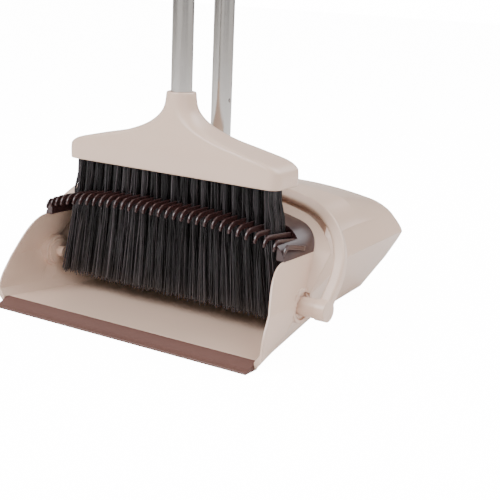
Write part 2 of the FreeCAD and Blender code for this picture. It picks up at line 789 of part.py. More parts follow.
def pistol_grip():
    angle = math.radians(mm("grip_angle"))
    along = V(0, math.cos(angle), math.sin(angle))
    across = V(0, -math.sin(angle), math.cos(angle))
    start = V(0, -6.0, mm("collar_top") + 6.0)
    length = mm("grip_length")
    stations = [(0.0, 13.0), (0.18, 13.2), (0.5, mm("grip_mid_radius")), (0.75, 16.8), (0.9, mm("grip_bulb_radius"))]
    rings = []
    for share, radius in stations:
        centre = start + along * (share * length)
        rings.append(Part.Wire(Part.Circle(centre, along, radius).toShape()))
    arm = Part.makeLoft(rings, True, False)
    bulb = Part.makeSphere(mm("grip_bulb_radius"), start + along * (0.9 * length))
    nose = Part.makeSphere(13.0, start)
    collar = Part.makeCylinder(mm("collar_radius"), mm("collar_top") - mm("collar_base"), V(0, 0, mm("collar_base")))
    neck = Part.makeSphere(mm("collar_radius"), V(0, 0, mm("collar_top")))
    beak = Part.makeCone(9.0, 2.5, 22.0, start + V(0, 2.0, -2.0), V(0, -1.0, -0.35))
    body = collar.fuse([neck, nose, arm, bulb, beak])
    # finger ridges: shallow rounded grooves across the underside
    for share in (0.36, 0.47, 0.58, 0.69, 0.8):
        centre = start + along * (share * length) - across * (mm("grip_mid_radius") + 6.5 + 8.0 * max(0.0, share - 0.5))
        body = body.cut(Part.makeCylinder(7.0, 60.0, centre - V(30, 0, 0), V(1, 0, 0)))
    depth = mm("collar_top") - 4.0 - mm("collar_base")
    bore = Part.makeCylinder(mm("tube_radius") + mm("fit_gap"), depth + 10.0, V(0, 0, mm("collar_base") - 10.0))
    screw_at = V(0, 0, mm("collar_base") + mm("screw_rise"))
    screw_hole = Part.makeCylinder(mm("screw_radius") + mm("fit_gap"), 30.0, screw_at, V(0, 1, 0))
    return body.cut(bore).cut(screw_hole).removeSplitter()


feature("pistol_grip", pistol_grip())




screw_seat = size("tube_radius") + 0.3
screw_out = size("collar_radius") + 0.8
keep(cylinder("GripScrew", size("screw_radius"), screw_out - screw_seat, 0.0, screw_seat,
              size("collar_base") + size("screw_rise"), TURN_TO_REAR), "grip_screw")

# ---------------------------------------------------------------- brush clip


def broom_clip():
    """A split ring on a short arm: its mouth faces forward and springs over the brush's tube."""
    height = mm("clip_height")
    low = mm("collar_base") - height
    inside = mm("tube_radius") + mm("clip_clear")
    outside = inside + mm("clip_wall")
    y = -mm("tube_spacing")
    holder = Part.makeCylinder(mm("collar_radius"), height, V(0, 0, low))
    arm_width = 9.0
    arm = Part.makeBox(arm_width, mm("tube_spacing"), height, V(-arm_width / 2, y, low))
    clip_ring = Part.makeCylinder(outside, height, V(0, y, low))
    body = holder.fuse([arm, clip_ring])
    mouth = mm("clip_mouth")
    body = body.cut(Part.makeCylinder(inside, height, V(0, y, low)))
    body = body.cut(Part.makeBox(mouth, outside * 2, height, V(-mouth / 2, y - outside * 2, low)))
    body = body.cut(Part.makeCylinder(mm("tube_radius") + mm("fit_gap"), height, V(0, 0, low)))
    return body.removeSplitter()


feature("broom_clip", broom_clip())

# ---------------------------------------------------------------- brush head

AXIS_Y = -mm("tube_spacing")


def head_outline(inset):
    """The head's front view: flat base, short ends, sloping shoulders and a round neck."""
    base = mm("head_base")
    half = HEAD_HALF.value - inset
    neck = mm("neck_radius") - inset
    top = mm("head_top") - inset
    end = base + mm("head_end")
    right = [
        Part.LineSegment(V(half, 0, base), V(half, 0, end)),
        Part.Arc(V(half, 0, end), V(half - 4.5, 0, end + 8.0 - inset), V(half - 16.0, 0, end + 12.0 - inset)),
    ]
    slope = Part.BSplineCurve()
    slope.interpolate([
        V(half - 16.0, 0, end + 12.0 - inset), V(half * 0.66, 0, base + 31.5 - inset), V(half * 0.41, 0, base + 40.0 - inset),
        V(neck + 13.0, 0, base + 51.0 - inset), V(neck + 3.4, 0, base + 64.0 - inset), V(neck, 0, top),
    ])
    edges = [edge.toShape() for edge in right + [slope]]
    flip = FreeCAD.Matrix()
    flip.A11 = -1.0
    mirrored = [edge.transformGeometry(flip) for edge in edges]
    close = [Part.LineSegment(V(-half, 0, base), V(half, 0, base)), Part.LineSegment(V(-neck, 0, top), V(neck, 0, top))]
    return Part.Wire(Part.__sortEdges__(edges + mirrored + [line.toShape() for line in close]))


def head_block(inset):
    """The front view given the head's depth, which draws in from the base to the neck."""
    depth = mm("head_depth") / 2 - inset
    neck = mm("neck_radius") - inset
    base = mm("head_base")
    front = Part.Face(head_outline(inset)).extrude(V(0, mm("head_depth"), 0))
    front.translate(V(0, -mm("head_depth") / 2, 0))
    top = mm("head_top") + 5.0
    side = [(depth, base - 5.0), (depth, base + mm("head_end")), (depth - 3.0, base + mm("head_end") + 10.0),
            (neck + 1.5, base + 58.0), (neck, base + 70.0), (neck, top)]
    loop = side + [(-y, z) for y, z in reversed(side)]
    return front.common(side_prism(loop, FAR))


def broom_head():
    body = head_block(0.0)
    corners = [e for e in body.Edges if abs(e.BoundBox.XLength) < 0.01 and e.BoundBox.ZLength > mm("head_end") - 1.0
               and abs(abs(e.BoundBox.XMin) - HEAD_HALF.value) < 0.01]
    body = body.makeFillet(11.0, corners)
    base = mm("head_base")
    cavity = head_block(mm("head_wall"))
    cavity = cavity.common(Part.makeBox(2 * FAR, FAR, mm("cavity_height"), V(-FAR, -FAR / 2, base)))
    body = body.cut(cavity)
    bore_base = mm("brush_tube_base") + 10.0
    bore = Part.makeCylinder(mm("tube_radius") + mm("fit_gap"), FAR, V(0, 0, bore_base))
    body = body.cut(bore)
    body.translate(V(0, AXIS_Y, 0))
    return body.removeSplitter()


feature("broom_head", broom_head())


def tuft_block():
    """The board that fills the head's underside and holds the bristles."""
    base = mm("head_base") + mm("comb_gap")
    gap = mm("head_wall") + mm("fit_gap")
    half = HEAD_HALF.value - gap
    depth = mm("head_depth") / 2 - gap
    corner = 8.0
    body = Part.makeBox(2 * half, 2 * depth, mm("block_height") - 2 * mm("comb_gap"), V(-half, -depth, base))
    body = body.makeFillet(corner, [e for e in body.Edges if e.BoundBox.ZLength > 5.0])
    body.translate(V(0, AXIS_Y, 0))
    return body


feature("tuft_block", tuft_block())

# The bristles hang as plates, one between each pair of comb teeth.
plate_width = size("tooth_pitch") - size("tooth_thick") - 2 * size("bristle_clear")
plates = []
for index in range(int((HEAD_HALF.value - 8.0) // mm("tooth_pitch"))):
    for side in (-1, 1):
        centre = side * (index + 0.5) * size("tooth_pitch")
        plate = bind(doc.addObject("Part::Box", f"Bristle{side + 1}x{index}"), Length=plate_width,
                     Width=size("bristle_front") - size("bristle_rear"), Height=size("bristle_length"))
        place(plate, centre - plate_width / 2, -size("bristle_front"), size("head_base") - size("bristle_length"))
        plates.append(plate)
keep(group("Bristles", plates), "bristles")

# ---------------------------------------------------------------- brush pole

brush_y = -size("tube_spacing")
insert_low = size("brush_tube_base") + 10.0
insert_high = insert_low + 60.0
tube_set("broom", size("brush_joint"), insert_low, size("brush_grip_base") + size("brush_grip_length") - 40.0, brush_y)
bore = size("tube_radius") - size("tube_wall") - size("fit_gap")
turned("broom_socket_insert", ring(bore - size("spigot_wall"), bore, insert_low, insert_high), y=brush_y)


def hanging_grip():
    """A round grip with a domed top and an oval hole to hang it by."""
    radius = mm("brush_grip_radius")
    low = mm("brush_grip_base")
    top = low + mm("brush_grip_length")
    body = Part.makeCylinder(radius, top - radius - low, V(0, 0, low))
    body = body.makeFillet(2.0, [e for e in body.Edges if abs(e.BoundBox.ZMax - low) < 0.01 and e.Length > radius])
    body = body.fuse(Part.makeSphere(radius, V(0, 0, top - radius)))
    oval = Part.Ellipse(V(0, 0, 0), mm("hole_half_height"), mm("hole_half_width"))
    hole = Part.Face(Part.Wire(oval.toShape())).extrude(V(0, 0, FAR))
    hole.rotate(V(0, 0, 0), V(0, 1, 0), -90)
    hole.rotate(V(0, 0, 0), V(0, 0, 1), 90)
    hole.translate(V(0, FAR / 2, top - mm("hole_drop")))
    body = body.cut(hole)
    seat = Part.makeCylinder(mm("tube_radius") + mm("fit_gap"), mm("brush_grip_length") - 40.0, V(0, 0, low))
    body = body.cut(seat)
    body.translate(V(0, AXIS_Y, 0))
    return body.removeSplitter()


feature("hanging_grip", hanging_grip())

# ---------------------------------------------------------------- checks and export

doc.recompute()
faults = [obj.Name for obj in doc.Objects if set(obj.State) & {"Invalid", "Error"}]
for obj in nodes:
    if obj.Shape.isNull() or not obj.Shape.isValid() or not obj.Shape.Solids:
        faults.append(obj.Label)
if faults:
    raise RuntimeError("failed: " + ", ".join(faults))
os.makedirs("parts", exist_ok=True)
for obj in nodes:
    obj.Shape.exportStep(f"parts/{obj.Label}.step")
    print(f"{obj.Label}: {len(obj.Shape.Solids)} solid, {obj.Shape.Volume / 1000:.1f} cm3")
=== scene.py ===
"""Looks of an upright dust pan with its long-handled brush.

The pan's mouth faces -Y. Its pole rises through the origin, and the brush is parked in front of it
with its bristles drawn into the comb on the pan's roof. Lengths are metres.
"""

import json
import math

import bmesh
import bpy
from bpy.props import FloatProperty, FloatVectorProperty, IntProperty, PointerProperty
from mathutils import Matrix, Vector


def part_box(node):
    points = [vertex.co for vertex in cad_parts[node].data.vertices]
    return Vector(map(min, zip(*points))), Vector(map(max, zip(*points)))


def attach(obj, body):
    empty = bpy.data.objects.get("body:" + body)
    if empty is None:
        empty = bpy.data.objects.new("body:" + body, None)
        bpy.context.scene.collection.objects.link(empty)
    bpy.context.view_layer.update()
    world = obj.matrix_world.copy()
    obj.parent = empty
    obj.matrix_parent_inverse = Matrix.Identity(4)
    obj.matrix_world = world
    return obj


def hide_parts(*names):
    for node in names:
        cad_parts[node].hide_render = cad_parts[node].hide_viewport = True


bl_info = {
    "name": "Dust pan and brush",
    "version": (1, 0, 0),
    "blender": (4, 5, 0),
    "location": "3D View > Sidebar > Dust pan",
    "description": "Builds the visible pieces of an upright dust pan and brush on its packed frame",
    "category": "Object",
}

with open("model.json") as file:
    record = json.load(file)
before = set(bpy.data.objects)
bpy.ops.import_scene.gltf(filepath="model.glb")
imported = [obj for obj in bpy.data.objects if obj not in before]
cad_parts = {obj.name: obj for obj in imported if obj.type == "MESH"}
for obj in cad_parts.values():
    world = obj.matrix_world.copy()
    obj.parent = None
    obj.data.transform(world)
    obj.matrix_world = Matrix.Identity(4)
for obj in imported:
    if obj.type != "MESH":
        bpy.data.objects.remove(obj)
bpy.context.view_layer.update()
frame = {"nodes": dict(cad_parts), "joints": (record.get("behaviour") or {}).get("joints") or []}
PIVOT = Vector(next(j for j in frame["joints"] if j["name"] == "pan_hinge")["pos_m"])
BRUSH_Y = sum(corner.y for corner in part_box("broom_lower_tube")) / 2
TUBE_RADIUS = (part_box("broom_lower_tube")[1].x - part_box("broom_lower_tube")[0].x) / 2


# ---------------------------------------------------------------- settings a user would change

def length(name, description, default):
    return FloatProperty(name=name, description=description, default=default, subtype="DISTANCE",
                         unit="LENGTH")


def colour(name, description, default):
    return FloatVectorProperty(name=name, description=description, default=default, subtype="COLOR",
                               min=0, max=1)


class PanSettings(bpy.types.PropertyGroup):
    edge: length("Edge", "Radius that shows on the edges of moulded pieces", 0.0009)
    tooth_pitch: length("Tooth pitch", "Spacing of the comb's teeth", 0.0095)
    tooth_count: IntProperty(name="Teeth", description="Number of teeth in the comb", default=33)
    tooth_thick: length("Tooth thickness", "Width of one tooth", 0.0022)
    tip_back: length("Tooth tips", "How far the middle teeth reach in front of the pole", 0.120)
    tip_height: length("Tip height", "Height of the middle teeth's tips", 0.116)
    tooth_reach: length("Tooth reach", "Length of the middle teeth", 0.071)


class BrushSettings(bpy.types.PropertyGroup):
    tufts: IntProperty(name="Tufts", description="Tufts along the head", default=20)
    rows: IntProperty(name="Rows", description="Rows of tufts from front to rear", default=4)
    strands: IntProperty(name="Strands", description="Bristles in one tuft", default=74)
    strand_radius: length("Bristle radius", "Half the thickness of one bristle", 0.00042)
    flare: length("Flare", "How far the outermost bristles lean out at their tips", 0.017)
    tuft_radius: length("Tuft radius", "Half the width of one tuft at the head", 0.0036)
    splay: length("Splay", "How far a bristle may lean by itself", 0.0045)
    ragged: length("Ragged", "How much the bristles differ in length", 0.0035)


class ColourSettings(bpy.types.PropertyGroup):
    beige: colour("Beige", "Moulded pan, head and grips", (0.680, 0.498, 0.395))
    comb: colour("Comb", "Comb and its teeth", (0.040, 0.017, 0.016))
    rubber: colour("Rubber", "Lip of the pan", (0.122, 0.056, 0.044))
    steel: colour("Steel", "Tubes and pins", (0.620, 0.600, 0.580))
    bristle: colour("Bristle", "Bristles of the brush", (0.012, 0.010, 0.011))
    inner: colour("Inner", "Hidden plastic pieces", (0.300, 0.270, 0.240))
    floor: colour("Floor", "Studio floor", (0.900, 0.900, 0.900))


class StageSettings(bpy.types.PropertyGroup):
    azimuth: FloatProperty(name="Azimuth", description="Camera's turn to the object's right",
                           default=math.radians(33.04), subtype="ANGLE", unit="ROTATION")
    elevation: FloatProperty(name="Elevation", description="Camera's height as an angle",
                             default=math.radians(14.47), subtype="ANGLE", unit="ROTATION")
    roll: FloatProperty(name="Roll", description="Camera's tilt about its own line of sight",
                        default=math.radians(-2.3), subtype="ANGLE", unit="ROTATION")
    distance: length("Distance", "From the camera to its target", 1.251)
    target: FloatVectorProperty(name="Target", description="The point in the middle of the view",
                                default=(0.03934, 0.00679, 0.06161), subtype="TRANSLATION", unit="LENGTH")
    lens: FloatProperty(name="Lens", description="Focal length in millimetres", default=82.82)
    key: FloatProperty(name="Key", description="Power of the main light in watts", default=62.0)
    fill: FloatProperty(name="Fill", description="Power of the light on the right in watts", default=9.0)
    glow: FloatProperty(name="Glow", description="Light that the studio floor adds for the camera",
                        default=14.0)
    backdrop: FloatProperty(name="Backdrop", description="Brightness of the backdrop for the camera",
                            default=16.0)
    panels: IntProperty(name="Panels", description="Soft boxes that gloss reflects, round the set", default=3)
    sky: FloatProperty(name="Sky", description="Strength of the even light from all round", default=0.80)


# ---------------------------------------------------------------- mesh helpers

def piece(name, vertices, faces, material, smooth=True):
    """A mesh object at the origin, with its doubles merged and its faces turned outwards."""
    mesh = bpy.data.meshes.new(name)
    mesh.from_pydata([tuple(v) for v in vertices], [], faces)
    shape = bmesh.new()
    shape.from_mesh(mesh)
    bmesh.ops.remove_doubles(shape, verts=shape.verts, dist=1e-6)
    bmesh.ops.recalc_face_normals(shape, faces=shape.faces)
    shape.to_mesh(mesh)
    shape.free()
    mesh.shade_smooth() if smooth else mesh.shade_flat()
    mesh.materials.append(material)
    obj = bpy.data.objects.new(name, mesh)
    bpy.context.scene.collection.objects.link(obj)
    return obj


def skin(rings, close_start=True, close_end=True, offset=0):
    """Vertices and quads that join closed rings of equal count, with flat or open ends."""
    count = len(rings[0])
    vertices = [v for ring in rings for v in ring]
    faces = []
    for i in range(len(rings) - 1):
        for k in range(count):
            a = offset + i * count + k
            b = offset + i * count + (k + 1) % count
            faces.append((a, b, b + count, a + count))
    if close_start:
        faces.append(tuple(offset + k for k in reversed(range(count))))
    if close_end:
        faces.append(tuple(offset + (len(rings) - 1) * count + k for k in range(count)))
    return vertices, faces


def joined(*parts):
    """Several skins as one list of vertices and one of faces."""
    vertices, faces = [], []
    for part_vertices, part_faces in parts:
        start = len(vertices)
        vertices += part_vertices
        faces += [tuple(start + index for index in face) for face in part_faces]
    return vertices, faces


def flow(rows, steps):
    """Rows of numbers joined by a smooth curve through each of them."""
    out = []
    last = len(rows) - 1
    for i in range(last):
        p = [rows[max(i - 1, 0)], rows[i], rows[i + 1], rows[min(i + 2, last)]]
        for k in range(steps):
            t = k / steps
            w = ((-t + 2 * t * t - t ** 3) / 2, (2 - 5 * t * t + 3 * t ** 3) / 2,
                 (t + 4 * t * t - 3 * t ** 3) / 2, (t ** 3 - t * t) / 2)
            out.append(tuple(sum(w[j] * p[j][c] for j in range(4)) for c in range(len(rows[0]))))
    out.append(tuple(rows[-1]))
    return out


def rounded_box_ring(half_a, half_b, corner, side_steps=6, corner_steps=6):
    """Points of a rectangle with round corners, as (a, b), the same count for any size."""
    corner = min(corner, half_a, half_b)
    points = []
    for quarter in range(4):
        turn = quarter * math.pi / 2
        sign_a = (1, -1, -1, 1)[quarter]
        sign_b = (1, 1, -1, -1)[quarter]
        centre = (sign_a * (half_a - corner), sign_b * (half_b - corner))
        for k in range(corner_steps + 1):
            angle = turn + k / corner_steps * math.pi / 2
            points.append((centre[0] + corner * math.cos(angle), centre[1] + corner * math.sin(angle)))
        next_a = (-1, -1, 1, 1)[quarter]
        next_b = (1, -1, -1, 1)[quarter]
        goal = (next_a * (half_a - corner), next_b * (half_b - corner))
        goal_angle = turn + math.pi / 2
        end = (goal[0] + corner * math.cos(goal_angle), goal[1] + corner * math.sin(goal_angle))
        start = points[-1]
        for k in range(1, side_steps):
            share = k / side_steps
            points.append((start[0] + (end[0] - start[0]) * share, start[1] + (end[1] - start[1]) * share))
    return points


def baked(obj):
    """The piece with its modifiers applied, as a plain mesh under the same name."""
    bpy.context.view_layer.update()
    result = bpy.data.meshes.new_from_object(obj.evaluated_get(bpy.context.evaluated_depsgraph_get()))
    obj.modifiers.clear()
    obj.data = result
    return obj


# ---------------------------------------------------------------- shader groups and materials

def group_with(name, inputs, outputs):
    """A shader group with named sockets, and its two ends."""
    tree = bpy.data.node_groups.new(name, "ShaderNodeTree")
    for title, kind, default in inputs:
        socket = tree.interface.new_socket(title, in_out="INPUT", socket_type=kind)
        socket.default_value = default
    for title, kind in outputs:
        tree.interface.new_socket(title, in_out="OUTPUT", socket_type=kind)
    return tree, tree.nodes.new("NodeGroupInput"), tree.nodes.new("NodeGroupOutput")


def node(tree, kind, label="", **settings):
    made = tree.nodes.new(kind)
    made.label = label
    for key, value in settings.items():
        setattr(made, key, value)
    return made


def noise(tree, vector, scale, detail, label):
    made = node(tree, "ShaderNodeTexNoise", label)
    tree.links.new(vector, made.inputs["Vector"])
    made.inputs["Detail"].default_value = detail
    if isinstance(scale, float):
        made.inputs["Scale"].default_value = scale
    else:
        tree.links.new(scale, made.inputs["Scale"])
    return made


def span(tree, value, low, high, label):
    """Maps 0..1 onto low..high, where either end may be a number or a socket."""
    made = node(tree, "ShaderNodeMapRange", label)
    tree.links.new(value, made.inputs["Value"])
    for title, end in (("To Min", low), ("To Max", high)):
        if isinstance(end, float):
            made.inputs[title].default_value = end
        else:
            tree.links.new(end, made.inputs[title])
    return made


def moulded_skin():
    """Tone that drifts over a moulding, a sheen that varies, and the fine spark-eroded grain."""
    tree, start, end = group_with(
        "Moulded skin",
        [("Colour", "NodeSocketColor", (0.8, 0.8, 0.8, 1)), ("Drift", "NodeSocketFloat", 0.05),
         ("Gloss low", "NodeSocketFloat", 0.3), ("Gloss high", "NodeSocketFloat", 0.42),
         ("Grain scale", "NodeSocketFloat", 900.0)],
        [("Colour", "NodeSocketColor"), ("Roughness", "NodeSocketFloat"), ("Height", "NodeSocketFloat")])
    place = node(tree, "ShaderNodeTexCoord", "Place")
    cloud = noise(tree, place.outputs["Object"], 14.0, 3.0, "Slow drift")
    low = node(tree, "ShaderNodeMath", "Darkest", operation="SUBTRACT")
    low.inputs[0].default_value = 1.0
    tree.links.new(start.outputs["Drift"], low.inputs[1])
    high = node(tree, "ShaderNodeMath", "Lightest", operation="ADD")
    high.inputs[0].default_value = 1.0
    tree.links.new(start.outputs["Drift"], high.inputs[1])
    tone = span(tree, cloud.outputs["Fac"], low.outputs[0], high.outputs[0], "Tone")
    scale = node(tree, "ShaderNodeVectorMath", "Tinted", operation="SCALE")
    tree.links.new(start.outputs["Colour"], scale.inputs[0])
    tree.links.new(tone.outputs[0], scale.inputs["Scale"])
    smear = noise(tree, place.outputs["Object"], 60.0, 4.0, "Handling smears")
    gloss = span(tree, smear.outputs["Fac"], start.outputs["Gloss low"], start.outputs["Gloss high"], "Gloss")
    grain = noise(tree, place.outputs["Object"], start.outputs["Grain scale"], 2.0, "Mould grain")
    tree.links.new(scale.outputs[0], end.inputs["Colour"])
    tree.links.new(gloss.outputs[0], end.inputs["Roughness"])
    tree.links.new(grain.outputs["Fac"], end.inputs["Height"])
    return tree


def drawn_lines():
    """Fine lines drawn along Z, as a tube mill and a polishing belt leave them."""
    tree, start, end = group_with(
        "Drawn lines",
        [("Across", "NodeSocketFloat", 1500.0), ("Along", "NodeSocketFloat", 12.0),
         ("Gloss low", "NodeSocketFloat", 0.12), ("Gloss high", "NodeSocketFloat", 0.28)],
        [("Lines", "NodeSocketFloat"), ("Roughness", "NodeSocketFloat")])
    place = node(tree, "ShaderNodeTexCoord", "Place")
    stretch = node(tree, "ShaderNodeCombineXYZ", "Stretch")
    for axis, source in (("X", "Across"), ("Y", "Across"), ("Z", "Along")):
        tree.links.new(start.outputs[source], stretch.inputs[axis])
    drawn = node(tree, "ShaderNodeVectorMath", "Drawn out", operation="MULTIPLY")
    tree.links.new(place.outputs["Object"], drawn.inputs[0])
    tree.links.new(stretch.outputs[0], drawn.inputs[1])
    lines = noise(tree, drawn.outputs[0], 1.0, 4.0, "Lines")
    gloss = span(tree, lines.outputs["Fac"], start.outputs["Gloss low"], start.outputs["Gloss high"], "Gloss")
    tree.links.new(lines.outputs["Fac"], end.inputs["Lines"])
    tree.links.new(gloss.outputs[0], end.inputs["Roughness"])
    return tree


def blank_material(name):
    material = bpy.data.materials.new(name)
    material.use_nodes = True
    tree = material.node_tree
    tree.nodes.clear()
    shader = node(tree, "ShaderNodeBsdfPrincipled", "Surface")
    out = node(tree, "ShaderNodeOutputMaterial", "Output")
    tree.links.new(shader.outputs[0], out.inputs["Surface"])
    return material, tree, shader


def add_bump(tree, shader, height, strength, distance, edge=0.0):
    """The surface grain, over edges that look rounded where an edge radius is given."""
    bump = node(tree, "ShaderNodeBump", "Grain")
    if edge:
        rounding = node(tree, "ShaderNodeBevel", "Edge radius", samples=6)
        rounding.inputs["Radius"].default_value = edge
        tree.links.new(rounding.outputs[0], bump.inputs["Normal"])
    bump.inputs["Strength"].default_value = strength
    bump.inputs["Distance"].default_value = distance
    tree.links.new(height, bump.inputs["Height"])
    tree.links.new(bump.outputs[0], shader.inputs["Normal"])


def moulded(name, tint, drift, gloss, grain_scale, grain_depth, coat=0.0):
    """A moulded plastic or rubber."""
    material, tree, shader = blank_material(name)
    skin_group = node(tree, "ShaderNodeGroup", "Moulded skin", node_tree=bpy.data.node_groups["Moulded skin"])
    skin_group.inputs["Colour"].default_value = (*tint, 1)
    skin_group.inputs["Drift"].default_value = drift
    skin_group.inputs["Gloss low"].default_value = gloss[0]
    skin_group.inputs["Gloss high"].default_value = gloss[1]
    skin_group.inputs["Grain scale"].default_value = grain_scale
    tree.links.new(skin_group.outputs["Colour"], shader.inputs["Base Color"])
    tree.links.new(skin_group.outputs["Roughness"], shader.inputs["Roughness"])
    shader.inputs["Coat Weight"].default_value = coat
    shader.inputs["Coat Roughness"].default_value = 0.18
    add_bump(tree, shader, skin_group.outputs["Height"], 0.35, grain_depth, bpy.context.scene.dust_pan.edge)
    return material


def steel(name, tint):
    material, tree, shader = blank_material(name)
    lines = node(tree, "ShaderNodeGroup", "Drawn lines", node_tree=bpy.data.node_groups["Drawn lines"])
    tone = span(tree, lines.outputs["Lines"], 0.86, 1.08, "Bright and dull")
    tinted = node(tree, "ShaderNodeVectorMath", "Tinted", operation="SCALE")
    tinted.inputs[0].default_value = tint
    tree.links.new(tone.outputs[0], tinted.inputs["Scale"])
    tree.links.new(tinted.outputs[0], shader.inputs["Base Color"])
    tree.links.new(lines.outputs["Roughness"], shader.inputs["Roughness"])
    shader.inputs["Metallic"].default_value = 1.0
    shader.inputs["Anisotropic"].default_value = 0.4
    add_bump(tree, shader, lines.outputs["Lines"], 0.12, 0.00004)
    return material


def bristle_plastic(name, tint):
    """Extruded bristle: each strand has its own tone, and its cut tip is a little paler. The palest strands
    are painted highlight, lightened to stand in for the grey gloss streaks on the tufts.
    """
    material, tree, shader = blank_material(name)
    strand = node(tree, "ShaderNodeAttribute", "Strand", attribute_name="strand_tone")
    tip = node(tree, "ShaderNodeAttribute", "Tip", attribute_name="strand_tip")
    ramp = node(tree, "ShaderNodeValToRGB", "Strand tones and painted highlights")
    dark, light = ramp.color_ramp.elements
    dark.color = (*[0.55 * c for c in tint], 1)
    dark.position, light.position = 0.62, 1.0
    # the pale end of the ramp is painted highlight: a share of the strands turned light grey to stand in for
    # gloss streaks
    light.color = (*[7.0 * c for c in tint], 1)
    worn = node(tree, "ShaderNodeMix", "Tip wear", data_type="RGBA")
    worn.inputs["B"].default_value = (0.075, 0.060, 0.055, 1)
    tree.links.new(strand.outputs["Fac"], ramp.inputs[0])
    tree.links.new(ramp.outputs[0], worn.inputs["A"])
    tree.links.new(tip.outputs["Fac"], worn.inputs["Factor"])
    tree.links.new(worn.outputs["Result"], shader.inputs["Base Color"])
    gloss = span(tree, strand.outputs["Fac"], 0.36, 0.24, "Gloss")
    tree.links.new(gloss.outputs[0], shader.inputs["Roughness"])
    return material


MATERIALS = {}


def make_materials(tints):
    moulded_skin()
    drawn_lines()
    MATERIALS.update(
        beige=moulded("Beige plastic", tints.beige, 0.025, (0.27, 0.36), 1100.0, 0.00002, 0.20),
        comb=moulded("Comb plastic", tints.comb, 0.10, (0.26, 0.36), 1100.0, 0.00002, 0.35),
        rubber=moulded("Lip rubber", tints.rubber, 0.06, (0.46, 0.62), 700.0, 0.00005),
        inner=moulded("Inner plastic", tints.inner, 0.06, (0.42, 0.55), 900.0, 0.00003),
        steel=steel("Tube steel", tints.steel),
        pin=steel("Pin steel", [0.8 * c for c in tints.steel]),
        bristle=bristle_plastic("Bristle", tints.bristle),
    )


# ---------------------------------------------------------------- pieces

class DUST_OT_finishes(bpy.types.Operator):
    """Makes the materials and gives them to the pieces whose shape comes from the frame"""
    bl_idname = "dust.finishes"
    bl_label = "Finishes"

    def execute(self, context):
        make_materials(context.scene.dust_colours)
        words = {"tube": "steel", "pin": "beige", "spigot": "inner", "insert": "inner", "screw": "pin",
                 "lock_pin": "pin", "joiner": "beige", "comb": "comb",
                 "rubber_lip": "rubber", "pads": "rubber",
                 "block": "inner"}
        for name, obj in frame["nodes"].items():
            found = [MATERIALS[word] for key, word in words.items() if key in name]
            material = found[-1] if found else MATERIALS["beige"]
            obj.data.materials.clear()
            obj.data.materials.append(material)
        return {"FINISHED"}


class DUST_OT_brush_head(bpy.types.Operator):
    """Builds the brush head, whose shoulders sweep up into a round neck"""
    bl_idname = "dust.brush_head"
    bl_label = "Brush head"

    def execute(self, context):
        low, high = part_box("broom_head")
        half = high.x
        depth = (high.y - low.y) / 2
        neck = 0.0152
        corner_at_base = 0.0115
        steps = (12, 7)
        rise = high.z - low.z
        # share of the height, half width, half depth, corner radius
        stations = [(1.0, neck, neck, neck), (0.78, neck + 0.0035, neck + 0.0012, neck + 0.0005),
                    (0.605, neck + 0.0168, neck + 0.0032, 0.0125), (0.47, 0.43 * half, 0.0205, 0.0085),
                    (0.375, 0.675 * half, 0.0223, 0.0070), (0.295, 0.89 * half, 0.0236, 0.0080),
                    (0.225, 0.978 * half, 0.0243, 0.0100), (0.15, half, depth, corner_at_base),
                    (0.018, half, depth, corner_at_base)]
        rings = []
        for share, a, b, corner in flow(stations, 7):
            rings.append([(x, y, low.z + share * rise) for x, y in rounded_box_ring(a, b, corner, *steps)])
        wall = 0.003
        edge = 0.0009
        inner = [(edge * 0.3, edge * 0.3), (edge, 0.0), (wall - edge, 0.0), (wall - edge * 0.3, edge * 0.3),
                 (wall, edge), (wall, 0.0146)]
        for inset, lift in inner:
            ring = rounded_box_ring(half - inset, depth - inset, corner_at_base - inset, *steps)
            rings.append([(x, y, low.z + lift) for x, y in ring])
        bore = TUBE_RADIUS + 0.00005
        top = [(bore, 0.985), (bore + 0.0008, 0.998), (neck - 0.0012, 1.0), (neck - 0.0003, 0.996)]
        mouth = [[(x, y, low.z + share * rise) for x, y in rounded_box_ring(r, r, r, *steps)]
                 for r, share in top]
        rings[0] = [(x, y, low.z + 0.985 * rise) for x, y in rounded_box_ring(neck, neck, neck, *steps)]
        vertices, faces = skin(mouth + rings)
        vertices = [(x, y + BRUSH_Y, z) for x, y, z in vertices]
        obj = piece("brush_head_shell", vertices, faces, MATERIALS["beige"])
        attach(obj, "broom")
        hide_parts("broom_head")
        return {"FINISHED"}


def link_all(tree, pairs):
    for source, target in pairs:
        tree.links.new(source, target)


def maths(tree, operation, a, b=None, c=None):
    """One arithmetic node whose inputs may be numbers or sockets."""
    made = node(tree, "ShaderNodeMath", operation.title(), operation=operation)
    for index, value in enumerate((a, b, c)):
        if value is None:
            continue
        if isinstance(value, (int, float)):
            made.inputs[index].default_value = value
        else:
            tree.links.new(value, made.inputs[index])
    return made.outputs[0]


def random_value(tree, low, high, seed, shift, index):
    made = node(tree, "FunctionNodeRandomValue", "Random")
    made.inputs[2].default_value = low
    made.inputs[3].default_value = high
    tree.links.new(index, made.inputs["ID"])
    tree.links.new(maths(tree, "ADD", seed, float(shift)), made.inputs["Seed"])
    return made.outputs[1]


def named_inputs(tree, **kinds):
    """Adds a geometry node tree's inputs by kind, and its one output."""
    for kind, titles in kinds.items():
        for title in titles:
            tree.interface.new_socket(title, in_out="INPUT", socket_type="NodeSocket" + kind)
    tree.interface.new_socket("Geometry", in_out="OUTPUT", socket_type="NodeSocketGeometry")


